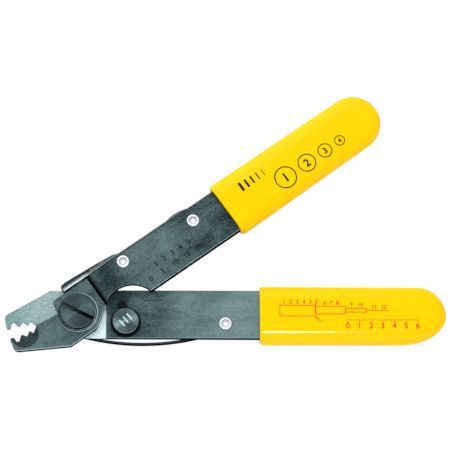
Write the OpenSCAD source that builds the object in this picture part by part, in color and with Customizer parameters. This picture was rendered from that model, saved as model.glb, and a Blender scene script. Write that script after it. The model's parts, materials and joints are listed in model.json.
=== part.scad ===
// Fibre stripper with notched blades, a sprung pair of handles and a set stop.
// Two steel arms cross at one screw. The lower arm is the fixed frame of the
// model: its handle runs along +X and it carries the upper blade. The upper
// arm's handle rises to +Y and it carries the lower blade.
// Origin: the pivot axis, on the plane that the tool lies on. +Z is its front.

/* [Arms] */
// Thickness of the steel that both arms are stamped from
plate_t = 2.4; // [2:0.1:3]
// Width of a handle
arm_w = 16.7; // [15:0.1:18]
// Pivot to the end of a steel handle, inside its grip
arm_len = 122.5; // [100:0.5:140]
// Angle between the handles, sprung open
open_angle = 35.4; // [33:0.2:37]
// Turn of the upper arm from open to closed
closing_turn = 15; // [12:0.5:16]
// How far the lower handle lies outside the pivot's line
lower_set = 0.4; // [0:0.1:0.8]
// How far the upper handle lies inside the pivot's line
upper_set = 0.1; // [0:0.1:0.8]
// Pivot to the wall where the lower blade's ground face ends
ground_len = 9.75; // [9.6:0.05:12]
// Pivot to the step under the upper arm, where its jaw drops
joggle_under = 8.5; // [7.5:0.1:8.6]
// Pivot to the foot of the same step on the arm's front
joggle_front = 9.2; // [9:0.1:10]
// Length of the slope between jaw and handle on the front
joggle_run = 0.9; // [0.4:0.1:1.5]
// Gap between faces that slide on each other
slide_gap = 0.05; // [0.02:0.01:0.1]

/* [Blades] */
// How far a blade's blunt end lies past its first notch
blunt_past = 2.4; // [2:0.05:3]
// Angle between a blade's back and its handle
blade_lean = 29.8; // [28:0.1:31]
// Distance of the blade's back from the pivot, square to it
blade_back = 11.63; // [11:0.01:12]
// Distance from the pivot of the three notches
notch_r = [22.4, 19.0, 16.5]; // [14:0.05:24]
// Width that each notch leaves when the blades are closed
notch_gap = [1.5, 0.32, 0.19]; // [0.1:0.01:1.6]
// How far the nose tooth lies past the first notch
nose_past = 1.8; // [1.5:0.05:2]
// Place of the teeth between two notches, as a share of their distance
tooth_share = 0.43; // [0.3:0.01:0.6]
// How far the last tooth lies behind the last notch
last_tooth_back = 1.85; // [1.4:0.05:2.2]
// How far each of the four teeth, nose first, passes the closing line
tooth_bite = [1.25, 1.2, 1.2, 1.8]; // [0.8:0.05:2.2]
// Radius of the rounded nose tooth
nose_tooth_r = 0.8; // [0.4:0.1:1.1]
// Radius of the hollow ground behind the notches
bowl_r = 4.6; // [3.5:0.1:5.5]
// Depth of that hollow in the upper arm's jaw
bowl_depth = 1.3; // [0.8:0.1:1.6]
// Depth of the hollow in the back of the lower arm's thinner blade
back_bowl_depth = 0.6; // [0.3:0.1:0.8]

/* [Scallop and stop] */
// Radius of the scallop in the upper arm, round the stop
scallop_r = 9.6; // [8.5:0.1:10]
// Centre of the scallop along the upper handle
scallop_x = 15.35; // [14.5:0.05:17]
// Centre of the scallop from the upper handle's pivot line
scallop_y = 10.95; // [10:0.05:11.5]
// Start of the scallop's straight flank, along the handle
heel_x = 2.1; // [0:0.1:4]
// Place of the stop's stud on the lower handle
cam_at = [16.4, -3.4]; // [-4:0.1:18]
// Radius of the stop's round base
cam_r = 5.15; // [4.5:0.05:5.25]
// Thickness of the stop
cam_t = 1.65; // [1.2:0.05:2]
// Radius of the stop's nose
cam_nose_r = 1.45; // [1:0.05:1.8]
// Direction of the nose
cam_nose_dir = 103; // [95:1:110]
// Gap that the nose leaves to the scallop when closed
stop_gap = 0.03; // [0.02:0.01:0.08]
// Radius of the knob that covers the stop
knob_r = 4.75; // [4:0.05:5]
// Radius of the knob's turned top face
knob_top_r = 4.45; // [3.8:0.05:4.7]
// Thickness of the knob
knob_t = 1.65; // [1.4:0.05:2.4]
// Radius of the stud under the knob
stud_r = 2; // [1.5:0.1:2.5]

/* [Pivot] */
// Radius of the screw's thread
screw_r = 3; // [2.5:0.1:3.4]
// Radius of the smooth shoulder that the upper arm turns on
shoulder_r = 4; // [3.6:0.1:4.5]
// Radius of the slotted head
head_r = 6; // [5.4:0.1:6.2]
// Height of the slotted head
head_t = 2.3; // [1.8:0.1:3]
// Depth of the recess that the head sits in
recess_t = 0.6; // [0.3:0.1:0.9]
// Room round the head in its recess
recess_room = 0.3; // [0.2:0.05:0.5]
// Width of the screwdriver slot
slot_w = 1.2; // [0.8:0.1:1.6]
// Depth of the screwdriver slot
slot_t = 1.1; // [0.8:0.1:1.5]
// Direction of the screwdriver slot
slot_dir = -26; // [-60:1:60]
// Across the flats of the nut behind the pivot
nut_af = 10; // [9:0.5:11]
// Thickness of the split lock washer
washer_t = 0.5; // [0.3:0.1:0.8]
// Radial clearance of a pin or shaft in its hole
fit = 0.05; // [0.02:0.01:0.1]

/* [Rivets] */
// Radius of a rivet's shank
rivet_r = 1.5; // [1.2:0.1:1.7]
// Radius of a rivet's rolled front ring
rivet_head_r = 2.12; // [1.9:0.02:2.4]
// Height of the ring over the plate
rivet_head_t = 0.5; // [0.3:0.05:0.8]
// Place of the rail's front rivet along and out from the pivot line
front_rivet_at = [22.6, 5.4]; // [3:0.05:28]
// Place of the rail's rear rivet
rear_rivet_at = [50.75, 3.5]; // [2:0.05:55]
// Place of the spring's rivet on the lower handle
spring_rivet_at = [50.5, 3.65]; // [2:0.05:55]

/* [Spring and rail] */
// Thickness of the flat return spring
spring_t = 0.7; // [0.4:0.05:0.8]
// Width of the spring's blade, on edge behind the arms
spring_w = 2.5; // [2:0.1:2.6]
// Radius of the spring's bend round the pivot
bend_r = 6.85; // [6.6:0.05:8]
// Pivot to the lowest point of the spring's bowed leg
bow_x = 22; // [18:0.1:26]
// How much lower that point lies than the bend
bow_drop = 3.35; // [1:0.05:4]
// Sheet of the rail along the upper arm's edge
rail_t = 0.7; // [0.5:0.05:0.8]
// Width of the rail's folded edge where its taper starts
rail_w = 1.55; // [1.5:0.05:2.4]
// Angle by which the rail's outer side spreads towards its nose
rail_splay = 2.9; // [0:0.1:4]
// Room between the rail and the upper arm's edge
rail_room = 0.1; // [0.05:0.05:1]
// Length of the folded edge before it tapers
rail_len = 17.5; // [15:0.5:21]
// Length of the taper
rail_taper = 6.5; // [3:0.1:7]
// Radius of a riveted ear
ear_r = 3; // [2.6:0.1:3.4]

/* [Grips] */
// Pivot to the open end of a grip
grip_from = 62.2; // [58:0.1:68]
// Pivot to the round end of the upper and the lower grip
grip_to = [127.2, 126.5]; // [120:0.1:145]
// Width of a grip at its open end
grip_w = 20.15; // [18.6:0.05:23]
// Thickness of a grip
grip_t = 8.2; // [7.4:0.1:10]
// Radius of a grip's long edges
grip_edge = 3.5; // [2.5:0.1:3.6]
// Radius of the upper and the lower grip's round end
grip_end_r = [9.45, 9.1]; // [8:0.05:10]
// Where the upper and the lower grip start to narrow
grip_full_to = [67, 112.5]; // [66:0.5:116]
// Middle of the upper and the lower grip's open end, from the pivot's line inwards
grip_middle = [0.3, -0.75]; // [-1:0.05:1]
// Middle of the upper and the lower grip's round end, from the same line
grip_end_middle = [-0.2, -0.1]; // [-1:0.05:1]

/* [Hidden] */

$fn = 72;

// Heights of the layers, from the plane that the tool lies on
z_back = (grip_t - plate_t) / 2;      // back of the lower arm
z_mate = z_back + plate_t / 2;        // where the two blades meet
z_face = z_back + plate_t;            // front of the lower handle
z_jaw = z_mate + slide_gap;           // back of the upper arm's jaw
z_jaw_face = z_jaw + plate_t;         // front of that jaw
z_upper = z_face + slide_gap;         // back of the upper handle
z_upper_face = z_upper + plate_t;     // front of the upper handle
z_ceiling = z_upper_face + 10;        // above everything, for cutters

closed_angle = open_angle - closing_turn;
closing_line = closed_angle / 2;      // each blade's edge, below its handle's line
rail_in = arm_w / 2 - upper_set + rail_room;
rail_out = rail_in + rail_w;
rail_from = 0.1;                      // the rail's nose, just clear of its shoulder
relief_r = rail_in - 0.1;             // lower arm's round shoulder under the rail
nut_t = z_back - washer_t;
jaw_reach = notch_r[0] + blunt_past;  // pivot to a blade's blunt end
tooth_r = [
    notch_r[0] + nose_past,
    notch_r[1] + tooth_share * (notch_r[0] - notch_r[1]),
    notch_r[2] + tooth_share * (notch_r[1] - notch_r[2]),
    notch_r[2] - last_tooth_back
];
head_from = z_jaw_face - recess_t + slide_gap;
tail_t = 0.6;                         // a rivet's or the stud's spread tail
washer_room = 0.8;                    // stud washer past the stud's tail

// A point at distance r from the pivot, a degrees past the blade's line
function jaw_point(r, a) = [-r * cos(a), -r * sin(a)];
// Angle of a tooth's tip and of a notch's root
function tip_angle(i) = closing_line + asin(tooth_bite[i] / tooth_r[i]);
function root_angle(i) = closing_line - asin(notch_gap[i] / 2 / notch_r[i]);
function tip(i) = jaw_point(tooth_r[i], tip_angle(i));
function root(i) = jaw_point(notch_r[i], root_angle(i));
// Point on the straight back of a blade
function blade_back_at(x) = [x, blade_back / cos(blade_lean) + x * tan(blade_lean)];
// Points along an arc round c
function arc(c, r, from, to, steps) =
    [for (i = [0 : steps]) c + r * [cos(from + (to - from) * i / steps),
                                    sin(from + (to - from) * i / steps)]];

// Outline of either arm: handle along +X, cutting edge below the blade.
// set moves the handle's middle line towards the other handle.
module arm_outline(set) {
    inner = arm_w / 2 + set;
    outer = -arm_w / 2 + set;
    end_r = 6;
    heel = [-4.8, outer + 0.35];
    heel_to = [6, outer];
    heel_slope_top = [-5.6, -3.3];
    blunt_end = [[-jaw_reach, -2.6], [-jaw_reach, -1.15]];
    back_corner = blade_back_at(-jaw_reach + 0.6);
    shoulder = [-(blade_back / sin(blade_lean) - inner / tan(blade_lean)), inner];
    polygon(concat(
        [back_corner, shoulder],
        arc([arm_len - end_r, inner - end_r], end_r, 90, 0, 10),
        arc([arm_len - end_r, outer + end_r], end_r, 0, -90, 10),
        [heel_to, heel, heel_slope_top],
        [tip(3), root(2), tip(2), root(1), tip(1), root(0)],
        arc(tip(0) + [0, nose_tooth_r], nose_tooth_r, -12, -195, 16),
        blunt_end
    ));
}

// The first notch ends in a round hole, shared by both blades when closed
module round_notch() {
    translate(jaw_point(notch_r[0], closing_line)) circle(notch_gap[0] / 2);
}

// Hollow ground into a blade's outer face, round its notches
module bowl(depth) {
    sphere_r = (pow(bowl_r, 2) + pow(depth, 2)) / 2 / depth;
    translate(concat(jaw_point(notch_r[1] + 0.5, closing_line + 2), [sphere_r - depth]))
        sphere(sphere_r, $fn = 96);
}

// Puts a shape drawn along +X onto the opened upper arm, other side up
module upper_place() {
    rotate(open_angle) mirror([0, 1, 0]) children();
}

// Scallop that clears the stop, with a straight flank from the heel.
// The flank leaves the heel towards the round and ends just inside it.
module scallop() {
    heel = [heel_x, arm_w / 2 + upper_set];
    middle = [scallop_x, scallop_y];
    away = middle - heel;
    reach = scallop_r - 0.05;
    lean = atan2(away[1], away[0]) - asin(reach / norm(away));
    flank = sqrt(pow(norm(away), 2) - pow(reach, 2));
    touch = heel + flank * [cos(lean), sin(lean)];
    out = 20;
    translate(middle) circle(scallop_r, $fn = 180);
    polygon([heel, touch, middle, middle + [0, out], heel + [0, out]]);
}

module lower_arm() color("#5d7378") {
    difference() {
        translate([0, 0, z_back]) linear_extrude(plate_t) difference() {
            arm_outline(-lower_set);
            round_notch();
            lower_relief();
            circle(screw_r + fit);
            translate(cam_at) circle(stud_r + fit);
            translate([spring_rivet_at[0], -spring_rivet_at[1]]) circle(rivet_r + fit);
        }
        // Blade ground to half its thickness
        translate([-60, -30, z_mate]) cube([60 + ground_len, 60, plate_t]);
        translate([0, 0, z_back]) mirror([0, 0, 1]) bowl(back_bowl_depth);
    }
}

// Round part of the lower arm's shoulder. The wall that ends it stops the rail's nose.
module lower_relief() {
    span = 40;
    stop_dir = 90 + open_angle;
    intersection() {
        difference() {
            circle(relief_r + 6);
            circle(relief_r, $fn = 180);
        }
        polygon([[0, 0], span * [cos(stop_dir), sin(stop_dir)],
                 span * [cos(stop_dir - 32), sin(stop_dir - 32)]]);
    }
}

// Side of the upper arm: its jaw lies half a plate lower than its handle
module upper_side() {
    polygon([
        [-60, z_jaw], [joggle_under, z_jaw], [joggle_under, z_upper],
        [arm_len + 10, z_upper], [arm_len + 10, z_upper_face],
        [joggle_front + joggle_run, z_upper_face], [joggle_front, z_jaw_face],
        [-60, z_jaw_face]
    ]);
}

module upper_arm() color("#586e73") upper_place() {
    difference() {
        intersection() {
            linear_extrude(z_ceiling) difference() {
                arm_outline(upper_set);
                round_notch();
                scallop();
                circle(shoulder_r + fit);
                for (p = [front_rivet_at, rear_rivet_at])
                    translate([p[0], -p[1]]) circle(rivet_r + fit);
            }
            translate([0, 30, 0]) rotate([90, 0, 0]) linear_extrude(60) upper_side();
        }
        // Recess for the screw's head, with a lead-in round its rim
        translate([0, 0, z_jaw_face - recess_t]) cylinder(recess_t + 1, r = head_r + recess_room);
        translate([0, 0, z_jaw_face - 0.3])
            cylinder(0.4, head_r + recess_room, head_r + recess_room + 0.4);
        translate([0, 0, z_jaw_face]) bowl(bowl_depth);
    }
}

// One rounded disc of a grip's outer form
module grip_puck(r) {
    rotate_extrude($fn = 40) hull() for (z = [grip_edge, grip_t - grip_edge])
        intersection() {
            translate([r - grip_edge, z]) circle(grip_edge, $fn = 28);
            translate([0, 0]) square([r, grip_t]);
        }
}

// Dipped sleeve over a handle's end: arm 0 is the upper one, 1 the lower one
module grip(arm, set, base) {
    mouth_r = grip_edge + 0.8;
    mouth_cut = 2.2;
    side = grip_w / 2 - mouth_r;
    end_r = grip_end_r[arm];
    translate([0, 0, base]) difference() {
        hull() {
            for (x = [grip_from + mouth_r - mouth_cut, grip_full_to[arm]], s = [-1, 1])
                translate([x, grip_middle[arm] + s * side, 0]) grip_puck(mouth_r);
            translate([grip_to[arm] - end_r, grip_end_middle[arm], 0]) grip_puck(end_r);
        }
        // Mouth, trimmed square
        translate([grip_from - 10, -arm_w, -1]) cube([10, 2 * arm_w, grip_t + 2]);
        translate([0, 0, (grip_t - plate_t) / 2 - fit])
            linear_extrude(plate_t + 2 * fit) tang(set);
    }
}

// Space for the steel inside a grip, open at the mouth
module tang(set) {
    end_r = 6;
    half = arm_w / 2 + fit;
    polygon(concat(
        [[grip_from - 5, set + half]],
        arc([arm_len - end_r, set + half - end_r - fit], end_r + fit, 90, 0, 10),
        arc([arm_len - end_r, set - half + end_r + fit], end_r + fit, 0, -90, 10),
        [[grip_from - 5, set - half]]
    ));
}

module lower_grip() color("#ffd60a") grip(1, -lower_set, 0);

module upper_grip() color("#ffd60a") upper_place() grip(0, upper_set, z_upper - z_back);

// Shoulder screw: thread, smooth shoulder, slotted head with a rounded rim
module pivot_screw() color("#566b6f") {
    rim = 0.4;
    difference() {
        rotate_extrude() polygon(concat(
            [[0, 0], [screw_r, 0], [screw_r, z_mate], [shoulder_r, z_mate],
             [shoulder_r, head_from], [head_r, head_from]],
            arc([head_r - rim, head_from + head_t - rim], rim, 0, 90, 6),
            [[0, head_from + head_t]]
        ));
        rotate(slot_dir) translate([-head_r - 1, -slot_w / 2, head_from + head_t - slot_t])
            cube([2 * head_r + 2, slot_w, slot_t + 1]);
    }
}

module pivot_nut() color("#6b6f70") difference() {
    cylinder(nut_t, r = nut_af / sqrt(3), $fn = 6);
    translate([0, 0, -1]) cylinder(nut_t + 2, r = screw_r + fit);
}

module lock_washer() color("#8a8f90") translate([0, 0, nut_t]) difference() {
    cylinder(washer_t, r = nut_af / 2 - 0.1);
    translate([0, 0, -1]) cylinder(washer_t + 2, r = screw_r + fit);
    rotate(40) translate([0, -0.3, -1]) cube([nut_af, 0.6, washer_t + 2]);
}

// Where the nose's centre lies, so that it meets the scallop as the arms close
cam_turned = [cam_at[0] * cos(closed_angle) + cam_at[1] * sin(closed_angle),
              -cam_at[0] * sin(closed_angle) + cam_at[1] * cos(closed_angle)];
cam_offset = cam_turned - [scallop_x, -scallop_y];
nose_turned = [cos(cam_nose_dir - closed_angle), sin(cam_nose_dir - closed_angle)];
nose_across = cam_offset * nose_turned;
nose_reach = -nose_across + sqrt(pow(nose_across, 2) - cam_offset * cam_offset
             + pow(scallop_r - cam_nose_r - stop_gap, 2));

module stop_cam() color("#1b1f20")
    translate([cam_at[0], cam_at[1], z_face]) linear_extrude(cam_t) difference() {
        union() {
            circle(cam_r);
            rotate(cam_nose_dir) {
                translate([0, -cam_nose_r]) square([nose_reach, 2 * cam_nose_r]);
                translate([nose_reach, 0]) circle(cam_nose_r);
            }
        }
        circle(stud_r + fit);
    }

// Turned knob on the stop, closed on top and tapered to its face
module stop_knob() color("#6f8388") translate([cam_at[0], cam_at[1], z_face + cam_t]) {
    roof = 0.5;
    rim = 0.25;
    rotate_extrude() polygon([
        [stud_r + fit, 0], [knob_r, 0], [knob_top_r + 0.05, knob_t - rim],
        [knob_top_r - rim, knob_t], [0, knob_t],
        [0, knob_t - roof], [stud_r + fit, knob_t - roof]
    ]);
}

module stop_stud() color("#8d9697") translate([cam_at[0], cam_at[1], 0]) {
    top = z_face + cam_t + knob_t - 0.55;
    translate([0, 0, z_back - 2 * tail_t]) cylinder(top - z_back + 2 * tail_t, r = stud_r);
    translate([0, 0, z_back - 2 * tail_t]) cylinder(tail_t, r = stud_r + washer_room);
}

module stud_washer() color("#7d8687")
    translate([cam_at[0], cam_at[1], z_back - tail_t]) linear_extrude(tail_t) difference() {
        circle(stud_r + 2 * washer_room);
        circle(stud_r + fit);
    }

// Tubular rivet: rolled ring in front with a hollow core, spread tail behind
module rivet(p, front, back) {
    hollow_r = rivet_head_r - 0.72;
    hollow_t = 1;
    ring = rivet_head_t / 2;
    translate([p[0], p[1], 0]) rotate_extrude() polygon(concat(
        [[0, back - tail_t], [rivet_head_r, back - tail_t], [rivet_head_r, back],
         [rivet_r, back], [rivet_r, front], [rivet_head_r - 0.1, front]],
        arc([rivet_head_r - ring, front + ring], ring, -30, 90, 6),
        arc([hollow_r + ring, front + ring], ring, 90, 180, 5),
        [[hollow_r, front + rivet_head_t - hollow_t], [0, front + rivet_head_t - hollow_t]]
    ));
}

module front_rivet() color("#e8eced") upper_place()
    rivet([front_rivet_at[0], -front_rivet_at[1]], z_upper_face, z_upper - rail_t - spring_t);

module rear_rivet() color("#e8eced") upper_place()
    rivet([rear_rivet_at[0], -rear_rivet_at[1]], z_upper_face, z_upper - rail_t);

module spring_rivet() color("#e8eced")
    rivet([spring_rivet_at[0], -spring_rivet_at[1]], z_face, z_back - spring_t);

// Flat ear round a rivet, joined by a neck to a line at y = edge
module ear(p, edge, neck) {
    difference() {
        union() {
            translate(p) circle(ear_r);
            translate([p[0] - ear_r, min(p[1], edge)])
                square([neck + ear_r, abs(p[1] - edge)]);
        }
        translate(p) circle(rivet_r + fit);
    }
}

// Hairpin spring, on edge behind the arms: one leg under the upper handle,
// a bend round the pivot, and a bowed leg that runs to the lower handle's rivet
bow_lean = 2 * atan(bow_drop / bow_x);
bow_r = bow_x / sin(bow_lean) + bend_r;
bow_middle = [bow_x, bow_r - bend_r - bow_drop];
spring_z = 0.3;
leg_end = spring_rivet_at[0] - ear_r;
upper_leg_len = front_rivet_at[0] + 1;

// Middle line of the spring, moved out by off: upper leg, bend, bowed leg
function spring_line(off) = concat(
    [upper_leg_len * [cos(open_angle), sin(open_angle)]
     + (bend_r + off) * [-sin(open_angle), cos(open_angle)]],
    arc([0, 0], bend_r + off, 90 + open_angle, 270 - bow_lean, 24),
    arc(bow_middle, bow_r + off, 270 - bow_lean + 1,
        270 + asin((leg_end - bow_x) / bow_r), 30)
);

module return_spring() color("#46565a") {
    tab_t = spring_t - 0.04;
    tab_from = front_rivet_at[0] - ear_r - 5;
    tab_to = front_rivet_at[0] - rivet_head_r - 0.2;
    outer = spring_line(spring_t / 2);
    inner = spring_line(-spring_t / 2);
    translate([0, 0, spring_z]) linear_extrude(spring_w)
        polygon(concat(outer, [for (i = [len(inner) - 1 : -1 : 0]) inner[i]]));
    // Ear on the lower handle's back
    foot = outer[len(outer) - 1];
    translate([0, 0, z_back - spring_t]) linear_extrude(spring_t)
        ear([spring_rivet_at[0], -spring_rivet_at[1]], foot[1], 1);
    // Pressed tab on the upper leg, and its ear under the rail, held by the same rivet
    upper_place() {
        translate([tab_from, -bend_r - tab_t / 2, spring_z + 1])
            cube([tab_to - tab_from, tab_t, z_upper - rail_t - 0.02 - spring_z - 1]);
        translate([0, 0, z_upper - rail_t - spring_t]) linear_extrude(spring_t)
            ear([front_rivet_at[0], -front_rivet_at[1]], -bend_r, 1);
    }
}

// Plan of the rail's folded edge: straight against the arm, spreading towards the nose
module fold_plan(wall) {
    front_out = rail_out + rail_len * tan(rail_splay) - wall;
    nose = rail_from + wall;
    corner = 1.3;
    fold_to = rail_len + rail_taper;
    polygon([
        [nose, -rail_in - wall], [nose, -front_out + corner / 2],
        [nose + corner / 3, -front_out + corner / 8], [nose + corner, -front_out + 0.06],
        [rail_len, -rail_out + wall], [rail_len + rail_taper / 2, -rail_out + 0.35 + wall],
        [fold_to, -rail_in - 0.05], [fold_to, -rail_in - wall]
    ]);
}

// Rail riveted behind the upper handle: its folded edge stands along the arm,
// and its nose meets the lower arm's shoulder when the tool is open
module stop_rail() color("#5f767b") upper_place() {
    foot = z_upper - rail_t;
    nose_foot = z_back + 0.2;
    nose_len = 6;
    hollow_len = rail_len - 3;
    strip_in = 5.4;
    strip_from = joggle_front + 1.5;
    hug = arm_w / 2 - upper_set + 0.05;
    flange_t = 0.5;
    flange_len = 20.4;
    curl_t = 0.91;
    curl_r = 14.3;
    curl_x = rear_rivet_at[0] - 4.25;
    curl_len = 5;
    side_h = rail_t + plate_t - 0.2;
    fold_to = rail_len + rail_taper;
    difference() {
        translate([0, 0, nose_foot]) linear_extrude(z_upper_face - nose_foot) fold_plan(0);
        // Hollow of the fold, open below
        translate([0, 0, nose_foot - 1]) linear_extrude(z_upper_face - rail_t - nose_foot + 1)
            intersection() {
                fold_plan(rail_t);
                translate([rail_from - 1, -rail_out - 3]) square([hollow_len, rail_out]);
            }
        // Behind the nose the edge ends level with the strip
        translate([nose_len, -rail_out - 2, nose_foot - 1])
            cube([fold_to, rail_w + 3, foot - nose_foot + 1]);
        // Round top edges
        translate([0, -rail_in, z_upper_face]) top_round(0);
        translate([rail_len, -rail_out, z_upper_face]) rotate(rail_splay) top_round(1);
    }
    // Strip under the handle, with an ear at each rivet
    translate([0, 0, foot]) linear_extrude(rail_t) difference() {
        union() {
            translate([strip_from, -rail_out + 0.1])
                square([rail_len - strip_from, rail_out - 0.1 - strip_in]);
            translate([rail_len - 1, -hug - 0.2])
                square([rear_rivet_at[0] + 1.4 - rail_len, hug + 0.2 - strip_in]);
            for (p = [front_rivet_at, rear_rivet_at]) {
                translate([p[0], -p[1]]) circle(ear_r);
                translate([p[0] - ear_r, -strip_in - 1]) square([2 * ear_r, strip_in + 1 - p[1]]);
            }
        }
        for (p = [front_rivet_at, rear_rivet_at]) translate([p[0], -p[1]]) circle(rivet_r + fit);
    }
    // Thin flange along the arm's edge, and the bowed edge beside the rear ear
    translate([fold_to - 2, -hug - flange_t, foot]) cube([flange_len, flange_t, side_h]);
    translate([0, 0, foot]) linear_extrude(side_h) intersection() {
        translate([curl_x, curl_r - hug - curl_t]) circle(curl_r, $fn = 180);
        translate([curl_x - curl_len, -hug - 2]) square([2 * curl_len, 2]);
    }
}

// What a rounded top edge leaves out, along +X. side 0 is the inner edge, 1 the outer.
module top_round(side) {
    r = 0.4;
    turn = side == 0 ? 1 : -1;
    from = side == 0 ? -3 : -rail_len - 3;
    translate([from, 0, 0]) rotate([90, 0, 90]) linear_extrude(rail_len + rail_taper + 4)
        difference() {
            translate([-turn * r / 2, 0]) square([r, 2 * r], center = true);
            translate([-turn * r, -r]) circle(r);
        }
}

lower_arm();
upper_arm();
lower_grip();
upper_grip();
pivot_screw();
pivot_nut();
lock_washer();
stop_cam();
stop_knob();
stop_stud();
stud_washer();
return_spring();
stop_rail();
front_rivet();
rear_rivet();
spring_rivet();
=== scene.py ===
# Fibre stripper, dressed in the order in which the real tool is put together:
# studio, arms, grips, pivot, stop, spring, rail, rivets and marks.
import json
import math

import bpy
from mathutils import Matrix, Vector

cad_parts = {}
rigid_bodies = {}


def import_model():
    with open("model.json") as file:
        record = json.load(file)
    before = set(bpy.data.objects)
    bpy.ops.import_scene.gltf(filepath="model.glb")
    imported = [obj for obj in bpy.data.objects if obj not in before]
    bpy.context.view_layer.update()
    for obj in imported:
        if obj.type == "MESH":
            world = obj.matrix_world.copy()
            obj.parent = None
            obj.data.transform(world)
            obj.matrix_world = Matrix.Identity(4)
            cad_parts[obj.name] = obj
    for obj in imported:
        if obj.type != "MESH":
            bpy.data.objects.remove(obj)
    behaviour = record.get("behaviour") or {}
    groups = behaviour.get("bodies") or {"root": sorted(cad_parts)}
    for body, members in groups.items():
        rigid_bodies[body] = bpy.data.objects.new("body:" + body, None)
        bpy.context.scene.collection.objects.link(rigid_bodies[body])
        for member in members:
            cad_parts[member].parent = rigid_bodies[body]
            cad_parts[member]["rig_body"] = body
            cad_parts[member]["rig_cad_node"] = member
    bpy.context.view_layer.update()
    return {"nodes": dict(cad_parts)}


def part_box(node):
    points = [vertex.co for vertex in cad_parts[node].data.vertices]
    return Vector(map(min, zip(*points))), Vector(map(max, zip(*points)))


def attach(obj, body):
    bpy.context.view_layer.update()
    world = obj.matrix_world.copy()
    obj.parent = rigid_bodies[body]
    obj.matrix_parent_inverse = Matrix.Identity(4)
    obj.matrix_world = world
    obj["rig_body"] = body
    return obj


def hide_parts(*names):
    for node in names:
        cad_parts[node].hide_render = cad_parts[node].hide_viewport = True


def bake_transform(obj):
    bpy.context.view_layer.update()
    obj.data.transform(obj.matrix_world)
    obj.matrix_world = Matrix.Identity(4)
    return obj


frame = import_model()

scene = bpy.context.scene
mm = 0.001
open_turn = math.radians(35.4)        # the upper handle's turn at rest, from the lower one
black = (0.0, 0.0, 0.0)
white = (1.0, 1.0, 1.0)


# ---------------------------------------------------------------- node wiring
# Short ways to add and join shader nodes, so that each look further down reads as noise,
# spans and mixes. Every input takes a number, a colour or another node's output.
class Wiring:
    """The nodes of one material or world."""

    def __init__(self, owner):
        owner.use_nodes = True
        self.nodes = owner.node_tree.nodes
        self.links = owner.node_tree.links

    def feed(self, node, inputs):
        """Set or link a node's inputs, each found by its name or number."""
        for key, value in inputs.items():
            socket = node.inputs[key]
            if isinstance(value, bpy.types.NodeSocket):
                self.links.new(value, socket)
            elif socket.type == "RGBA":
                socket.default_value = (*value, 1)
            else:
                socket.default_value = value

    def add(self, kind, inputs=None, **settings):
        node = self.nodes.new("ShaderNode" + kind)
        for key, value in settings.items():
            setattr(node, key, value)
        self.feed(node, inputs or {})
        return node

    def math(self, kind, *values):
        return self.add("Math", dict(enumerate(values)), operation=kind).outputs[0]

    def vector(self, kind, *values):
        node = self.add("VectorMath", dict(enumerate(values)), operation=kind)
        return node.outputs["Vector" if kind == "MULTIPLY" else "Value"]

    def axes(self, vector):
        return self.add("SeparateXYZ", {0: vector}).outputs

    def span(self, value, low=0.0, high=1.0, to_low=0.0, to_high=1.0, kind="LINEAR"):
        """A value's way from low to high, drawn onto another span and clamped to it."""
        node = self.add("MapRange", {
            "Value": value, "From Min": low, "From Max": high,
            "To Min": to_low, "To Max": to_high}, interpolation_type=kind)
        return node.outputs["Result"]

    def mix(self, factor, a, b):
        node = self.add("Mix", {"Factor": factor, "A": a, "B": b}, data_type="RGBA")
        return node.outputs["Result"]

    def ramp(self, place, stops, kind="LINEAR", tone=white):
        """Light levels at places from 0 to 1, each in the tone."""
        node = self.add("ValToRGB", {"Fac": place})
        line = node.color_ramp
        line.interpolation = kind
        while len(line.elements) < len(stops):
            line.elements.new(0.5)
        for stop, (at, light) in zip(line.elements, stops):
            stop.position = at
            stop.color = (*(light * part for part in tone), 1)
        return node.outputs["Color"]

    def noise(self, where, scale, detail, rough=0.5, twist=0.0):
        node = self.add("TexNoise", {
            "Vector": where, "Scale": scale, "Detail": detail, "Roughness": rough,
            "Distortion": twist})
        return node.outputs["Fac"]

    def bump(self, height, strength, distance, base=None):
        inputs = {"Height": height, "Strength": strength, "Distance": distance}
        if base:
            inputs["Normal"] = base
        return self.add("Bump", inputs).outputs[0]


class Look(Wiring):
    """A new material, laid in millimetres round a centre, its X turned along a handle."""

    def __init__(self, name, turn=0.0, centre=(0, 0, 0)):
        self.material = bpy.data.materials.new(name)
        super().__init__(self.material)
        self.lay = self.add("Mapping", {
            "Vector": self.add("TexCoord").outputs["Object"], "Location": centre,
            "Rotation": (0, 0, turn), "Scale": (mm, mm, mm)}, vector_type="TEXTURE").outputs[0]

    def streaks(self, scale, detail, rough=0.5, twist=0.0, slant=0.0):
        """Noise drawn out along the handle, or slanting to it."""
        drawn = self.add("Mapping", {
            "Vector": self.lay, "Scale": scale, "Rotation": (0, 0, math.radians(slant))})
        return self.noise(drawn.outputs[0], 1.0, detail, rough, twist)

    def in_plan(self):
        """The place seen from above, with its height left out."""
        return self.vector("MULTIPLY", self.lay, (1, 1, 0))

    def reach(self):
        """How far from the centre's axis."""
        return self.vector("LENGTH", self.in_plan())

    def levelness(self):
        """1 on a face that lies flat, 0 on an upright wall."""
        normal = self.add("NewGeometry").outputs["Normal"]
        return self.math("ABSOLUTE", self.axes(normal)["Z"])

    def done(self, inputs):
        self.feed(self.nodes["Principled BSDF"], inputs)
        return self.material


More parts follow.
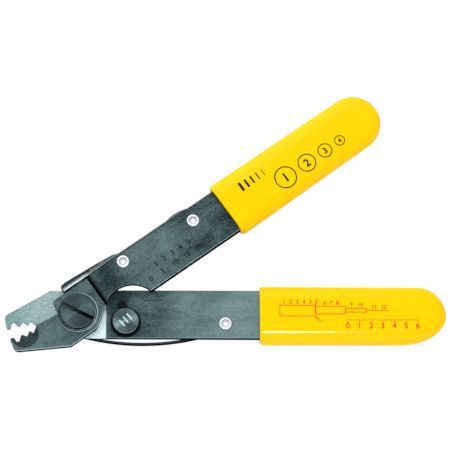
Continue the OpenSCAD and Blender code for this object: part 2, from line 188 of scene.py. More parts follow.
# ---------------------------------------------------------------- studio
# A long lens looks down from just in front of the lower handle. The tool lies on a white
# sweep, under a large soft box from the upper left, a strip in front and a small lamp.
look_at = Vector((0.0505, 0.0314, 0.0053))
stand_off = Vector((-0.0232, -0.1797, 0.6447))
camera_roll = math.radians(-0.3)
camera_data = bpy.data.cameras.new("camera")
camera_data.lens = 154.3
camera_data.sensor_width = 36.0
camera_data.clip_start = 0.01
camera = bpy.data.objects.new("camera", camera_data)
scene.collection.objects.link(camera)
view_line = -stand_off.normalized()
camera_right = view_line.cross(Vector((0, 1, 0))).normalized()
camera_up = camera_right.cross(view_line)
camera.matrix_world = (
    Matrix.Translation(look_at + stand_off)
    @ Matrix((camera_right, camera_up, -view_line)).transposed().to_4x4()
    @ Matrix.Rotation(camera_roll, 4, "Z")
)
scene.camera = camera
scene.view_settings.view_transform = "Standard"

tool_middle = Vector((0.05, 0.03, 0))


def soft_lamp(name, place, width, depth, power):
    """Area lamp over the tool, turned to its middle."""
    data = bpy.data.lights.new(name, "AREA")
    data.shape = "RECTANGLE"
    data.size = width
    data.size_y = depth
    data.energy = power
    lamp = bpy.data.objects.new(name, data)
    scene.collection.objects.link(lamp)
    lamp.location = place
    aim = tool_middle - Vector(place)
    lamp.rotation_euler = aim.to_track_quat("-Z", "Y").to_euler()


soft_lamp("soft_box", (-0.55, 0.85, 0.95), width=1.7, depth=1.7, power=15.5)
soft_lamp("small_lamp", (0.15, -0.12, 1.25), width=0.09, depth=0.03, power=3.2)
soft_lamp("front_strip", (0.1, -0.95, 0.75), width=1.5, depth=0.8, power=4.5)

# The room is bright low down and greyer overhead; the camera itself sees plain white
room_power = 1.25
world = bpy.data.worlds.new("studio")
scene.world = world
air = Wiring(world)
sky_height = air.axes(air.add("TexCoord").outputs["Generated"])["Z"]
room_light = air.nodes["Background"]
air.feed(room_light, {
    "Color": air.ramp(sky_height, ((0.2, 1.0), (0.6, 0.3)), "EASE"), "Strength": room_power})
seen_white = air.add("Background", {"Color": white, "Strength": 1.0})
air_mix = air.add("MixShader", {
    "Fac": air.add("LightPath").outputs["Is Camera Ray"],
    1: room_light.outputs[0], 2: seen_white.outputs[0]})
air.feed(air.nodes["World Output"], {"Surface": air_mix.outputs[0]})

# The sweep takes shadows as white card does, but mostly shows and mirrors as lit white
lit_share = 0.965
bpy.ops.object.select_all(action="DESELECT")
bpy.ops.mesh.primitive_plane_add(size=4, location=(tool_middle.x, tool_middle.y, -0.0001))
floor = bpy.context.object
floor.name = "floor"
sweep_card = bpy.data.materials.new("white_sweep")
sweep = Wiring(sweep_card)
card = sweep.nodes["Principled BSDF"]
sweep.feed(card, {"Base Color": (0.88, 0.88, 0.88), "Roughness": 0.9})
rays = sweep.add("LightPath").outputs
seen = sweep.math("MAXIMUM", rays["Is Camera Ray"], rays["Is Glossy Ray"])
seen = sweep.math("MAXIMUM", seen, rays["Is Transmission Ray"])
sweep_mix = sweep.add("MixShader", {
    "Fac": sweep.math("MULTIPLY", seen, lit_share),
    1: card.outputs[0], 2: sweep.add("Emission").outputs[0]})
sweep.feed(sweep.nodes["Material Output"], {"Surface": sweep_mix.outputs[0]})
floor.data.materials.append(sweep_card)


# ---------------------------------------------------------------- arms
# Two stampings of 2.4 mm steel, blackened, with their blades ground thinner. They cross at
# the pivot screw; the upper arm is joggled there so that both jaws lie in one plane.
def take(piece):
    """Make a piece the only one that is picked."""
    bpy.ops.object.select_all(action="DESELECT")
    piece.select_set(True)
    bpy.context.view_layer.objects.active = piece


def pick(piece, test, mode="VERT"):
    """Edit a piece, with the points, edges or faces picked that pass the test."""
    bpy.ops.object.mode_set(mode="EDIT")
    bpy.ops.mesh.select_mode(type=mode)
    bpy.ops.mesh.select_all(action="DESELECT")
    bpy.ops.object.mode_set(mode="OBJECT")
    mesh = piece.data
    if mode == "VERT":
        for v in mesh.vertices:
            v.select = test(v.co)
    elif mode == "EDGE":
        for e in mesh.edges:
            e.select = test(*(mesh.vertices[i].co for i in e.vertices))
    else:
        for p in mesh.polygons:
            p.select = test(p)
    bpy.ops.object.mode_set(mode="EDIT")


def work(piece, name, kind, **settings):
    """Add a modifier and apply it."""
    step = piece.modifiers.new(name, kind)
    for key, value in settings.items():
        setattr(step, key, value)
    bpy.ops.object.modifier_apply(modifier=step.name)


def pieced_steel(node, edge, smooth=30, seams=2):
    """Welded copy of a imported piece, with its sharp edges broken and smooth rounds."""
    copy = frame["nodes"][node].copy()
    copy.data = frame["nodes"][node].data.copy()
    copy.name = node + "_finish"
    copy.parent = None
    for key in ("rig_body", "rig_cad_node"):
        if key in copy:
            del copy[key]
    scene.collection.objects.link(copy)
    take(copy)
    bpy.ops.object.mode_set(mode="EDIT")
    bpy.ops.mesh.select_all(action="SELECT")
    bpy.ops.mesh.remove_doubles(threshold=0.002 * mm)
    bpy.ops.mesh.dissolve_limited(angle_limit=math.radians(0.6))
    bpy.ops.object.mode_set(mode="OBJECT")
    if edge:
        work(copy, "broken_edges", "BEVEL", width=edge, segments=seams, limit_method="ANGLE",
             angle_limit=math.radians(38), use_clamp_overlap=False, loop_slide=False)
    bpy.ops.object.shade_smooth_by_angle(angle=math.radians(smooth))
    work(copy, "even_shading", "WEIGHTED_NORMAL", keep_sharp=True, weight=60)
    copy.data.materials.clear()
    return copy


def lean_wall(piece, turn, from_x, past_y, below_z, lean):
    """Back edge of a handle's front wall, pushed out as on a sheared blank."""
    out = Vector((math.sin(turn), -math.cos(turn), 0))
    handle = Vector((math.cos(turn), math.sin(turn), 0))
    take(piece)
    pick(piece, lambda co: (
        co.dot(handle) > from_x and co.dot(out) > past_y and co.z < below_z))
    bpy.ops.transform.translate(value=out * lean)
    bpy.ops.object.mode_set(mode="OBJECT")


first_band, last_band = -30, 130      # reach of the bands along a handle, in millimetres
# Painted light along a ground blade, strongest at the cheek under the upper arm's shade
blade_painted_light = ((-25, -0.05), (-14, 0.17), (-4, 0.17), (6, 0.78))
glint_way = (0.55, -0.83, 0)          # the way that rims with the painted highlight face
# Near-black painted as shade on upright walls, which are also made fully metallic so that they
# mirror nothing
wall_shade_black = (0.002, 0.003, 0.003)


def oxide_steel(name, turn, sheen_bands, fresh, worn, glint_colour, crease_shade=None, ground=None, ring=None,
                bowl=None, fold_shading=None):
    """Blackened steel: brushing, cloudy oxide, painted reflection in bands, a painted
    highlight on front rims and walls painted black as shade.
    """
    look = Look(name, turn)
    brush = look.streaks((0.07, 2.6, 2.6), 6.0, 0.65)
    cloud = look.streaks((0.09, 0.17, 0.17), 7.0, 0.62, twist=0.6)
    grain = look.noise(look.lay, 1.25, 4.0, 0.75)
    scratch = look.streaks((0.12, 3.2, 1.0), 1.0, slant=9)
    along = look.axes(look.lay)
    place = look.span(along["X"], first_band, last_band)

    def swing(noise, share):
        return look.math("MULTIPLY", look.math("SUBTRACT", noise, 0.5), share)

    def in_bands(stops):
        return [((at - first_band) / (last_band - first_band), light) for at, light in stops]

    # Random oxide stains, plus painted reflection band by band along the handle
    stains = look.math("ADD", swing(cloud, 0.8), swing(brush, 0.4))
    stains = look.math("ADD", stains, swing(grain, 0.75))
    stains = look.math("MULTIPLY", stains, 0.3 if fold_shading else 1.0)
    wear = look.math("ADD", stains, look.ramp(place, in_bands(sheen_bands), "EASE"))
    wear = look.math("ADD", wear, look.span(scratch, 0.71, 0.76, to_high=0.3))
    if fold_shading:
        # In front of the joggle: painted highlight along the inner folded edge, painted shade
        # towards the outer one
        inner_y, outer_y, fore_x, joggle_x = fold_shading
        across = look.span(along["Y"], inner_y, outer_y, 0.6, -0.45)
        fore = look.span(along["X"], fore_x, joggle_x, 1.0, 0.12)
        wear = look.math("ADD", wear, look.math("MULTIPLY", across, fore))
    surface = look.mix(wear, fresh, worn)
    if ground:
        # Bare ground blade: paler, with a fine slanting grain and painted light that rises
        # towards the cheek by the pivot
        limit, pale, grey = ground
        grind = look.streaks((0.5, 3.4, 1.0), 5.0, 0.75, slant=-62)
        grind = look.math("ADD", look.math("MULTIPLY", grind, 0.6),
                          look.math("MULTIPLY", grain, 0.4))
        light = look.math("ADD", look.span(grind, 0.18, 0.82),
                          look.ramp(place, in_bands(blade_painted_light)))
        cut = look.mix(look.math("SUBTRACT", light, 0.5), grey, pale)
        surface = look.mix(look.math("LESS_THAN", along["X"], limit), surface, cut)

    # Rims facing the front get a painted highlight and those facing away get painted shade;
    # upright walls are painted black as shade, and so is a joggle's crease
    level = look.levelness()
    flatness = look.span(level, 0.5, 0.72)
    tilt = look.span(level, 0.992, 0.9, kind="SMOOTHSTEP")
    normal = look.add("NewGeometry").outputs["Normal"]
    glint_side = look.span(look.vector("DOT_PRODUCT", normal, glint_way), -0.05, 0.2)
    painted_glint = look.math("MULTIPLY", tilt, glint_side)
    painted_rim_shade = look.math("MULTIPLY", tilt, look.math("SUBTRACT", 1.0, glint_side))
    if bowl:
        # Ground bowl under the notches: darkened, and left without the painted rim highlight
        bowl_x, bowl_y, bowl_r = bowl
        off = look.vector("DISTANCE", look.in_plan(), (bowl_x, bowl_y, 0))
        in_well = look.math("LESS_THAN", off, bowl_r)
        out_well = look.math("SUBTRACT", 1.0, in_well)
        painted_glint = look.math("MULTIPLY", painted_glint, out_well)
        painted_rim_shade = look.math("MAXIMUM", look.math("MULTIPLY", painted_rim_shade, out_well),
                         look.math("MULTIPLY", in_well, 0.8))
    if ring:
        # Ring where the screw's head is let in: a painted highlight, strongest towards lit_way
        ring_r, lit_way = ring
        inside = look.math("LESS_THAN", look.reach(), ring_r)
        lit = look.span(look.vector("DOT_PRODUCT", look.lay, lit_way), -5, 6, 0.05, 0.75)
        outside = look.math("SUBTRACT", 1.0, inside)
        painted_glint = look.math("MAXIMUM", look.math("MULTIPLY", painted_glint, outside),
                           look.math("MULTIPLY", inside, lit))
    if fold_shading:
        painted_glint = look.math("MULTIPLY", painted_glint, fore)
    surface = look.mix(painted_glint, surface, glint_colour)
    surface = look.mix(look.math("MULTIPLY", painted_rim_shade, 0.85), surface, wall_shade_black)
    # Faces that are not flat, walls above all, take the near-black painted shade
    unshaded_share = flatness
    # Painted shade at the joggle: black from crease_x to fade_x, then fading out by clear_x
    if crease_shade:
        crease_x, fade_x, clear_x = crease_shade
        after = look.span(along["X"], fade_x, clear_x, kind="SMOOTHSTEP")
        before = look.math("LESS_THAN", along["X"], crease_x)
        unshaded_share = look.math("MULTIPLY", unshaded_share, look.math("MAXIMUM", before, after))
    return look.done({
        "Base Color": look.mix(unshaded_share, wall_shade_black, surface),
        "Roughness": look.span(brush, 0.3, 0.7, 0.40, 0.56),
        "Metallic": look.span(flatness, to_low=1.0, to_high=0.62),
        "Specular Tint": black,
        "Normal": look.bump(look.math("ADD", brush, grain), 0.35, 0.04 * mm),
    })


# The lighter of these two colours ends both the oxide's random stains and the bands of painted
# reflection along each handle
fresh_oxide = (0.016, 0.03, 0.032)
worn_oxide_and_sheen = (0.22, 0.335, 0.345)
lower_steel = oxide_steel(
    "oxide_steel", 0,
    ((-30, 0.4), (8, 0.35), (12, 0.06), (24, 0.18), (38, 0.4), (58, 0.63), (130, 0.63)),
    fresh_oxide, worn_oxide_and_sheen, glint_colour=(0.48, 0.7, 0.72),
    ground=(9.7, (0.8, 0.98, 0.99), (0.16, 0.25, 0.255)),
)
upper_steel = oxide_steel(
    "oxide_steel_upper", open_turn,
    ((-30, 0.36), (8, 0.24), (14, 0.06), (28, 0.37), (36, 0.33), (50, 0.13), (130, 0.14)),
    fresh_oxide, worn_oxide_and_sheen, glint_colour=(0.68, 0.92, 0.94),
    crease_shade=(9.15, 9.4, 12.0), ring=(6.85, (0.47, -0.88, 0)), bowl=(-19.06, 4.12, 4.8),
)
lower_arm = pieced_steel("lower_arm", 0.14 * mm)
lean_wall(lower_arm, 0, from_x=9.9 * mm, past_y=8.3 * mm, below_z=3.9 * mm, lean=0.3 * mm)
lower_arm.data.materials.append(lower_steel)
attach(lower_arm, "lower_arm")
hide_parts("lower_arm")

upper_arm = pieced_steel("upper_arm", 0.18 * mm)
lean_wall(upper_arm, open_turn, from_x=24 * mm, past_y=8 * mm, below_z=6.4 * mm,
          lean=0.3 * mm)
upper_arm.data.materials.append(upper_steel)
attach(upper_arm, "upper_arm")
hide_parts("upper_arm")


# ---------------------------------------------------------------- grips
# Yellow vinyl sleeves, dipped on the handles' ends: flat faces, full round edges, a soft
# lip at the mouth and a round end. Each is gripped by its own handle.
def vinyl(name, turn):
    """Glossy yellow vinyl: faint lengthwise runs, orange peel and a deeper orange yellow
    painted on its sides as shade."""
    look = Look(name, turn)
    runs = look.streaks((0.045, 0.55, 0.55), 4.0)
    swell = look.noise(look.lay, 0.11, 2.0)
    peel = look.noise(look.lay, 0.9, 3.0)
    drag = look.streaks((0.5, 1.3, 1.3), 3.0, 0.6)
    # Painted shade: faces that are not flat get a deeper orange yellow
    side_shade = look.span(look.levelness(), 0.85, 0.1)
    yellow = look.mix(side_shade, (0.92, 0.575, 0.0), (0.9, 0.525, 0.0))
    run_share = look.span(runs, 0.42, 0.72, to_high=0.8)
    waves = look.bump(swell, 0.5, 0.25 * mm)
    return look.done({
        "Base Color": look.mix(run_share, yellow, (0.93, 0.6, 0.0)),
        "Roughness": look.span(peel, to_low=0.35, to_high=0.5),
        "Specular IOR Level": 0.0,
        "Coat Weight": 0.2,
        "Coat Roughness": 0.07,
        "Normal": look.bump(peel, 0.2, 0.02 * mm, waves),
        "Coat Normal": look.bump(drag, 0.7, 0.05 * mm, waves),
    })


grip_mouth = 62.2 * mm
grip_thick = 8.2 * mm
round_room = 5.2 * mm         # how far the edge's round reaches over the flat face
hair = 0.01 * mm


def near(value, target):
    """True where a coordinate is at the wanted place."""
    return abs(value - target) < 2 * hair


def dipped_grip(name, end, end_r, end_mid, mouth_mid, mouth_half, outer_run, corner):
    """Sleeve along +X with its back on z = 0. outer_run stretches the end's outer quarter,
    corner rounds the mouth's front corner."""
    bpy.ops.object.select_all(action="DESELECT")
    centre = end - end_r
    bpy.ops.mesh.primitive_circle_add(
        vertices=72, radius=end_r, fill_type="NGON", location=(centre, end_mid, 0))
    sleeve = bpy.context.object
    sleeve.name = name
    bpy.ops.object.transform_apply(location=True, rotation=True, scale=True)

    # Back half pulled far behind the mouth, as wide as the mouth is
    back = 30 * mm
    pick(sleeve, lambda co: co.x < centre - hair)
    bpy.ops.transform.translate(value=(grip_mouth - back - centre, mouth_mid - end_mid, 0))
    slope = (mouth_half - end_r) / (centre - grip_mouth)
    wide = (mouth_half + slope * back) / end_r
    bpy.ops.transform.resize(
        value=(1, wide, 1), center_override=(grip_mouth - back, mouth_mid, 0))
    # Outer quarter of the end, drawn out
    pick(sleeve, lambda co: co.x > centre - hair and co.y < end_mid - hair)
    bpy.ops.transform.resize(value=(outer_run, 1, 1), center_override=(end, end_mid, 0))
    # Thickness, full round rims, then the flattened section of the real sleeve
    block = 12.4 * mm
    bpy.ops.mesh.select_all(action="SELECT")
    bpy.ops.mesh.extrude_region_move(TRANSFORM_OT_translate={"value": (0, 0, block)})
    pick(sleeve, lambda a, b: near(a.z, b.z) and (near(a.z, 0) or near(a.z, block)), "EDGE")
    bpy.ops.mesh.bevel(
        offset=round_room, segments=9, profile=0.56, affect="EDGES", clamp_overlap=False)
    bpy.ops.mesh.select_all(action="SELECT")
    bpy.ops.transform.resize(value=(1, 1, grip_thick / block), center_override=(0, 0, 0))
    # Mouth: trimmed square, its lip rounded, and sunk round the steel
    bpy.ops.mesh.bisect(
        plane_co=(grip_mouth, 0, 0), plane_no=(-1, 0, 0), clear_outer=True, use_fill=True)
    pick(sleeve, lambda a, b: near(a.x, grip_mouth) and near(b.x, grip_mouth), "EDGE")
    bpy.ops.mesh.bevel(offset=0.8 * mm, segments=4, profile=0.5, affect="EDGES")
    pick(sleeve, lambda p: near(p.center.x, grip_mouth) and p.normal.x < -0.99, "FACE")
    bpy.ops.mesh.inset(thickness=0.7 * mm)
    bpy.ops.mesh.extrude_region_move(TRANSFORM_OT_translate={"value": (1.2 * mm, 0, 0)})
    # Front corner of the mouth, pulled back in steps that shorten towards it
    mouth_low = mouth_mid - mouth_half
    for within, pull in ((1.4, 0.18), (0.9, 0.32), (0.45, 0.45), (0.12, 0.45)):
        pick(sleeve, lambda co: (
            co.x < grip_mouth + 2 * mm and co.y < mouth_low + within * mm))
        bpy.ops.transform.translate(value=(pull * corner * mm, 0, 0))
    bpy.ops.mesh.select_all(action="SELECT")
    bpy.ops.mesh.normals_make_consistent(inside=False)
    bpy.ops.object.mode_set(mode="OBJECT")
    bpy.ops.object.shade_smooth_by_angle(angle=math.radians(40))
    work(sleeve, "even_shading", "WEIGHTED_NORMAL", keep_sharp=True, weight=80)
    return sleeve


lower_grip = dipped_grip(
    "lower_grip_vinyl", end=126.45 * mm, end_r=9.95 * mm, end_mid=-0.75 * mm,
    mouth_mid=-0.74 * mm, mouth_half=10.05 * mm, outer_run=1.62, corner=0.6)
lower_grip.data.materials.append(vinyl("grip_vinyl", 0))
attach(lower_grip, "lower_arm")
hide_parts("lower_grip")

upper_grip = dipped_grip(
    "upper_grip_vinyl", end=127.15 * mm, end_r=9.65 * mm, end_mid=0.12 * mm,
    mouth_mid=-0.4 * mm, mouth_half=10.2 * mm, outer_run=1.0, corner=1.2)
take(upper_grip)
upper_grip.location.z = 2.45 * mm
upper_grip.rotation_euler.z = open_turn
bpy.ops.object.transform_apply(location=True, rotation=True, scale=True)
upper_grip.data.materials.append(vinyl("grip_vinyl_upper", open_turn))
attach(upper_grip, "upper_arm")
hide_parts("upper_grip")

# ---------------------------------------------------------------- pivot
# Slotted screw turned from bar, its head sunk in the upper arm. It passes both arms and is
# held behind by a hexagon nut on a split washer, which ride with the lower arm.
slot_turn = math.radians(-26)
slot_way = (math.cos(slot_turn), math.sin(slot_turn), 0)
slot_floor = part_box("pivot_screw")[1][2] / mm - 1.1     # height of the slot's floor


def turned_steel(name, centre, fresh, worn, rough, sheen, side_shade, floor_z=None):
    """Lathe-turned face: fine rings round its own middle, with painted shade on its sides and
    slot floor.
    """
    look = Look(name, 0, centre)
    rings = look.add("TexNoise", {
        "W": look.reach(), "Scale": 2.3, "Detail": 4.0, "Roughness": 0.7},
        noise_dimensions="1D").outputs["Fac"]
    stain = look.noise(look.lay, 0.45, 6.0)
    stained = look.math("MULTIPLY_ADD", stain, 0.9, -0.45)
    wear = look.math("MULTIPLY_ADD", rings, 1.1, stained)
    # Faces that are not flat take the side colour as painted shade
    lit = look.span(look.levelness(), 0.15, 0.55)
    if floor_z is not None:
        # Slot floor painted dark as shade, with a painted highlight towards one end; the head
        # above and the back end below stay bright
        height = look.axes(look.lay)["Z"]
        head = look.span(height, floor_z, floor_z + 0.3)
        back_end = look.math("LESS_THAN", height, floor_z - 1)
        slot_glint = look.span(
            look.vector("DOT_PRODUCT", look.lay, slot_way), -6, 2, 0.95, 0.06)
        bright = look.math("MAXIMUM", look.math("MAXIMUM", head, back_end), slot_glint)
        lit = look.math("MULTIPLY", lit, bright)
    around = look.add("Tangent", direction_type="RADIAL", axis="Z")
    return look.done({
        "Base Color": look.mix(lit, side_shade, look.mix(wear, fresh, worn)),
        "Metallic": 1.0,
        "Specular Tint": black,
        "Roughness": look.span(stain, to_low=rough - 0.05, to_high=rough + 0.08),
        "Anisotropic": sheen,
        "Tangent": around.outputs[0],
        "Normal": look.bump(rings, 0.4, 0.04 * mm),
    })


screw = pieced_steel("pivot_screw", 0.12 * mm, smooth=35)
screw.data.materials.append(turned_steel(
    "screw_steel", (0, 0, 0), fresh=(0.016, 0.027, 0.029), worn=(0.074, 0.116, 0.122),
    rough=0.3, sheen=0.7, side_shade=(0.002, 0.002, 0.002), floor_z=slot_floor))
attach(screw, "lower_arm")
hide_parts("pivot_screw")


def plated_steel(name, colour, painted_rim_shade):
    """Plain small hardware: dull plating, fine pits and rubbed high spots."""
    look = Look(name)
    pits = look.noise(look.lay, 1.6, 6.0)
    return look.done({
        "Base Color": look.mix(
            look.span(pits, 0.35, 0.62), [part * painted_rim_shade for part in colour], colour),
        "Roughness": look.span(pits, to_low=0.5, to_high=0.3),
        "Metallic": 0.9,
        "Normal": look.bump(pits, 0.3, 0.04 * mm),
    })


zinc = plated_steel("plain_steel", (0.34, 0.36, 0.37), 0.6)
nut = pieced_steel("pivot_nut", 0.3 * mm, seams=3)
split_washer = pieced_steel("lock_washer", 0.08 * mm)
for piece, node in ((nut, "pivot_nut"), (split_washer, "lock_washer")):
    piece.data.materials.append(zinc)
    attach(piece, "lower_arm")
    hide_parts(node)

# ---------------------------------------------------------------- stop
# Black cam with a round nose that sets how far the jaws close, under a turned knob. A stud
# through the lower handle holds both, with a washer behind.
cam_centre = (16.4 * mm, -3.4 * mm, 0)
cam_look = Look("black_steel", 0, cam_centre)
cam_grain = cam_look.noise(cam_look.lay, 1.8, 5.0)
black_oxide = cam_look.done({
    "Base Color": cam_look.mix(cam_grain, (0.002, 0.0025, 0.0025), (0.012, 0.016, 0.017)),
    "Roughness": cam_look.span(cam_grain, to_low=0.35, to_high=0.6),
    "Metallic": 1.0,
    "Specular Tint": black,
    "Normal": cam_look.bump(cam_grain, 0.3, 0.04 * mm),
})
cam = pieced_steel("stop_cam", 0.2 * mm, seams=3)
cam.data.materials.append(black_oxide)
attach(cam, "lower_arm")
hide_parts("stop_cam")

knob = pieced_steel("stop_knob", 0.06 * mm, smooth=25)
knob.data.materials.append(turned_steel(
    "turned_steel", cam_centre, fresh=(0.035, 0.055, 0.058), worn=(0.14, 0.21, 0.218),
    rough=0.27, sheen=0.85, side_shade=(0.003, 0.004, 0.004)))
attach(knob, "lower_arm")
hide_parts("stop_knob")

stud = pieced_steel("stop_stud", 0.1 * mm)
stud_ring = pieced_steel("stud_washer", 0.1 * mm)
for piece, node in ((stud, "stop_stud"), (stud_ring, "stud_washer")):
    piece.data.materials.append(zinc)
    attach(piece, "lower_arm")
    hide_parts(node)

# ---------------------------------------------------------------- spring
# Flat spring strip stood on edge and bent round the pivot, blued. One end is riveted behind
# each handle.
blued = oxide_steel(
    "spring_steel", 0, ((-30, 0.3), (10, 0.3), (60, 0.35)),
    fresh=(0.004, 0.006, 0.007), worn=(0.1, 0.15, 0.16), glint_colour=(0.02, 0.03, 0.032))
spring = pieced_steel("return_spring", 0.12 * mm)
spring.data.materials.append(blued)
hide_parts("return_spring")
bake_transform(spring)

# ---------------------------------------------------------------- rail
# Folded sheet rail along the upper arm's outer edge. Its nose meets the lower arm's
# shoulder and sets how far the tool opens. Two rivets hold its ears.
rail = pieced_steel("stop_rail", 0.1 * mm, smooth=35)
# Painted light on the rail: its near-white colours and its brighter bands in front of the
# joggle make a highlight along the inner folded edge and on the front rims
rail.data.materials.append(oxide_steel(
    "oxide_steel_rail", open_turn, ((-30, 0.45), (7, 0.45), (12, 0.12), (60, 0.12)),
    fresh=(0.02, 0.036, 0.038), worn=(0.9, 1.0, 1.0), glint_colour=(0.9, 1.0, 1.0),
    fold_shading=(7.9, 9.6, 8, 12)))
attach(rail, "upper_arm")
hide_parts("stop_rail")

# ---------------------------------------------------------------- rivets
# Bright tubular rivets: a rolled ring with a dished middle, from the front of each arm to
# its spread tail behind.
# Radial steps of painted highlight and painted shade across a rivet's face, out to rolled_edge
rolled_edge = 2.6
rivet_light_steps = (
    (0.0, 1.0), (0.75, 1.0), (1.05, 0.6), (1.35, 0.8), (1.62, 0.4), (1.85, 0.95),
    (2.15, 0.85), (2.4, 0.5))


def rolled_metal(name, centre):
    """Bright metal with radial steps of painted highlight and painted shade for its rolled
    shape: light ring, grey groove, bright core.
    """
    look = Look(name, 0, centre)
    marks = look.noise(look.lay, 1.6, 4.0)
    wander = look.math("MULTIPLY_ADD", marks, 0.5, look.reach())
    steps = [(at / rolled_edge, light) for at, light in rivet_light_steps]
    return look.done({
        "Base Color": look.ramp(
            look.math("DIVIDE", wander, rolled_edge), steps, tone=(0.96, 1, 1)),
        "Roughness": look.span(marks, to_low=0.25, to_high=0.4),
        "Metallic": 0.45,
        "Normal": look.bump(marks, 0.3, 0.03 * mm),
    })


for node, body in (
    ("front_rivet", "upper_arm"), ("rear_rivet", "upper_arm"), ("spring_rivet", "lower_arm")
):
    low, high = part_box(node)
    middle = [(a + b) / 2 for a, b in zip(low, high)]
    rivet = pieced_steel(node, 0, smooth=60)
    rivet.data.materials.append(rolled_metal("rivet_metal_" + node, middle))
    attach(rivet, body)
    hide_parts(node)


# ---------------------------------------------------------------- marks
# Plain printing and stamping: a drawing of a stepped cable with a numbered scale, rings of
# falling size, a scale struck into the upper handle, and three ticks on the knob. Each is a
# thin film that lies on its surface.
def ink(name, colour, thin, rough):
    """Ink or strike with slightly uneven cover."""
    look = Look(name)
    cover = look.noise(look.lay, 0.8, 5.0)
    return look.done({
        "Base Color": look.mix(look.span(cover, 0.5, 0.75), colour, thin),
        "Roughness": rough,
        "Specular IOR Level": 0.1,
    })


def laid_mark(name, surface, body, paint, turn=0.0, lines=(), rings=(), numbers=()):
    """One mark in millimetres along a handle, laid on the surface under it."""
    bits = []

    def keep(turned=0.0):
        bit = bpy.context.object
        bit.rotation_euler.z = turned
        bpy.ops.object.transform_apply(location=True, rotation=True, scale=True)
        bits.append(bit)

    for (x0, y0), (x1, y1), width in lines:
        bpy.ops.object.select_all(action="DESELECT")
        run = math.hypot(x1 - x0, y1 - y0) + width
        bpy.ops.mesh.primitive_grid_add(
            x_subdivisions=max(2, round(run / 1.2)), y_subdivisions=1, size=mm,
            location=((x0 + x1) / 2 * mm, (y0 + y1) / 2 * mm, 0))
        bpy.context.object.scale = (run, width, 1)
        keep(math.atan2(y1 - y0, x1 - x0))
    for x, y, radius, width in rings:
        bpy.ops.object.select_all(action="DESELECT")
        bpy.ops.mesh.primitive_circle_add(
            vertices=64, radius=radius * mm, fill_type="NGON", location=(x * mm, y * mm, 0))
        bpy.ops.object.mode_set(mode="EDIT")
        bpy.ops.mesh.select_all(action="SELECT")
        bpy.ops.mesh.inset(thickness=width * mm)
        bpy.ops.mesh.delete(type="FACE")
        bpy.ops.object.mode_set(mode="OBJECT")
        keep()
    for x, y, height, figures in numbers:
        bpy.ops.object.select_all(action="DESELECT")
        bpy.ops.object.text_add(location=(x * mm, y * mm, 0))
        text = bpy.context.object.data
        text.body = figures
        text.size = height / 0.7 * mm
        text.offset = 0.035 * height * mm
        text.align_x = "CENTER"
        bpy.ops.object.convert(target="MESH")
        keep()

    bpy.ops.object.select_all(action="DESELECT")
    for bit in bits:
        bit.select_set(True)
    bpy.context.view_layer.objects.active = bits[0]
    bpy.ops.object.join()
    mark = bpy.context.object
    mark.name = name
    mark.location.z = 20 * mm         # well over the tool, to be laid down from there
    mark.rotation_euler.z = turn
    bpy.ops.object.transform_apply(location=True, rotation=True, scale=True)
    bpy.ops.object.mode_set(mode="EDIT")
    bpy.ops.mesh.select_all(action="SELECT")
    bpy.ops.mesh.remove_doubles(threshold=0.001 * mm)
    bpy.ops.object.mode_set(mode="OBJECT")
    work(mark, "laid", "SHRINKWRAP", wrap_method="PROJECT", use_project_z=True,
         use_negative_direction=True, use_positive_direction=False, target=surface,
         offset=0.004 * mm)
    work(mark, "film", "SOLIDIFY", thickness=0.02 * mm, offset=1.0)
    mark.data.materials.clear()
    mark.data.materials.append(paint)
    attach(mark, body)
    return mark


def outline(x0, y0, x1, y1, width):
    """Four lines round a box."""
    corners = ((x0, y0), (x1, y0), (x1, y1), (x0, y1))
    return [(a, b, width) for a, b in zip(corners, corners[1:] + corners[:1])]


# Cable in four steps, its strands splayed at the first, with figures over it
fine, strand = 0.27, 0.16
cable = (
    outline(69.0, -1.55, 81.1, 2.2, fine) + outline(81.3, -0.85, 91.4, 1.85, fine)
    + outline(91.4, -0.15, 98.7, 1.2, fine) + [((98.7, 0.5), (106.4, 0.5), fine)]
    + [((81.2, 2.2), (81.4 + 0.5 * k, 4.8 - 0.3 * k), strand) for k in range(3)]
    + [((81.2, -1.6), (82.4 + 0.6 * k, -4.0 + 0.3 * k), strand) for k in range(3)]
)
small_figure = 1.35
cable_places = (
    [(70.4 + 2.3 * k, 2.75) for k in range(5)] + [(84.4 + 2.2 * k, 2.4) for k in range(3)]
    + [(93.6, 1.8), (96.6, 1.8), (101.4, 1.1), (104.6, 1.1)])
cable_figures = [
    (x, y, small_figure, str(k + 1)) for k, (x, y) in enumerate(cable_places)]
scale_x, scale_y = 92.2, -2.6
scale = [
    ((scale_x + k, scale_y), (scale_x + k, -3.5 if k % 4 == 0 else -3.05), fine)
    for k in range(25)]
scale_figures = [(scale_x + 4 * k, -5.75, 1.9, str(k)) for k in range(7)]
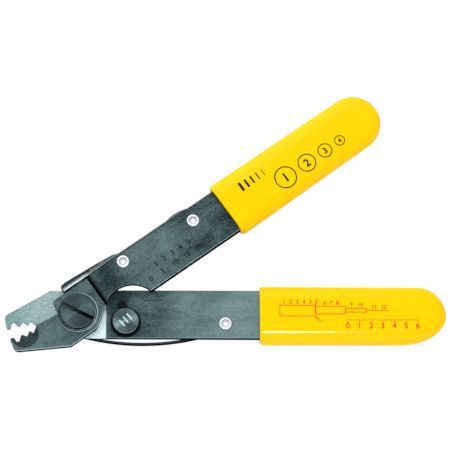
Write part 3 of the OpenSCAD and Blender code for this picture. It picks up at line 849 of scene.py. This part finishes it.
laid_mark(
    "cable_drawing", lower_grip, "lower_arm",
    ink("red_ink", (0.95, 0.06, 0.01), (0.97, 0.13, 0.0), 0.4),
    lines=cable + scale, numbers=cable_figures + scale_figures)

# Rings of falling size with figures, and a key of line widths, down the upper grip
ring_row = ((85.6, -2.9, 4.0, 0.42), (94.8, -2.9, 3.3, 0.38), (102.6, -2.9, 2.6, 0.34),
            (109.0, -2.9, 1.9, 0.3))
ring_figures = [
    (x, y - 0.42 * r, r * 0.84, str(k + 1)) for k, (x, y, r, _) in enumerate(ring_row)]
width_key = [
    ((71.0 + 2.3 * k, 1.9), (71.0 + 2.3 * k, 4.3), 1.0 - 0.18 * k) for k in range(5)]
laid_mark(
    "ring_row", upper_grip, "upper_arm",
    ink("black_ink", (0.008, 0.01, 0.01), (0.05, 0.05, 0.02), 0.4), turn=open_turn,
    lines=width_key, rings=ring_row, numbers=ring_figures)

# Scale struck into the upper handle
struck_x, struck_y = 27.0, -8.2
struck = [
    ((struck_x + k, struck_y), (struck_x + k, -6.9 if k % 5 == 0 else -7.5), 0.2)
    for k in range(27)]
struck_figures = [(struck_x + 5 * k, -6.0, 1.8, str(5 * k)) for k in range(6)]
struck_figures += [(31.5 + 3.4 * k, -2.6, 1.9, str(k + 1)) for k in range(5)]
laid_mark(
    "struck_scale", upper_arm, "upper_arm",
    ink("struck_steel", (0.012, 0.018, 0.019), (0.05, 0.075, 0.08), 0.7), turn=open_turn,
    lines=struck, numbers=struck_figures)

# Three ticks cut into the knob's face
cut_turn = math.radians(42)
row_step = 1.7 * Vector((math.cos(cut_turn), math.sin(cut_turn)))
half_tick = 1.1 * Vector((-math.sin(cut_turn), math.cos(cut_turn)))
knob_middle = Vector((cam_centre[0] / mm, cam_centre[1] / mm + 0.3))
ticks = [
    (tuple(knob_middle + k * row_step - half_tick),
     tuple(knob_middle + k * row_step + half_tick), 0.5) for k in (-1, 0, 1)]
laid_mark(
    "knob_ticks", knob, "lower_arm",
    ink("cut_steel", (0.55, 0.68, 0.69), (0.4, 0.5, 0.52), 0.5), lines=ticks)
